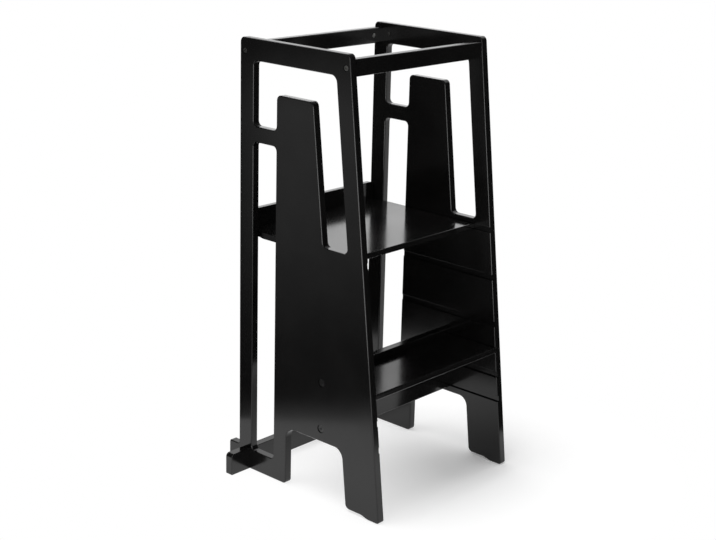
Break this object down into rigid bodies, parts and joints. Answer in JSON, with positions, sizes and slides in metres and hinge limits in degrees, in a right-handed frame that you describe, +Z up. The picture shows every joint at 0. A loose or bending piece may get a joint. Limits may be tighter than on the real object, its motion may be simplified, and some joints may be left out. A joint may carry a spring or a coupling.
{
  "type": "toddler kitchen helper stool",
  "caption": "Tall black painted board stool in which a small child stands at counter height, with slotted sides, top rails, a sliding platform and a sliding step.",
  "frame": {"origin": "on the floor, under the middle of the overall box", "axes": "+Z up, the front faces -Y, +X to the right of someone who looks at the front"},
  "size_m": [0.505, 0.424, 0.9],
  "materials": {
    "black_lacquer": "semi-gloss black lacquer over board",
    "black_steel": "dark plated, satin",
    "zinc_steel": "zinc plated, satin"
  },
  "bodies": {
    "frame": {"left_side_panel": "black_lacquer", "right_side_panel": "black_lacquer", "back_top_rail": "black_lacquer", "front_top_rail": "black_lacquer", "lower_cross_board": "black_lacquer", "stabiliser_board": "black_lacquer", "top_rail_bolts": "black_steel", "cross_board_screws": "black_steel", "top_rail_barrel_nuts": "zinc_steel"},
    "platform": {"platform_board": "black_lacquer", "platform_back_rail": "black_lacquer"},
    "step": {"step_board": "black_lacquer"}
  },
  "joints": [
    {"name": "platform_slide", "type": "slide", "parent": "frame", "child": "platform", "axis": [0, -1, 0], "range_m": [0, 0.29]},
    {"name": "step_slide", "type": "slide", "parent": "frame", "child": "step", "axis": [0, -1, 0], "range_m": [0, 0.113]}
  ]
}
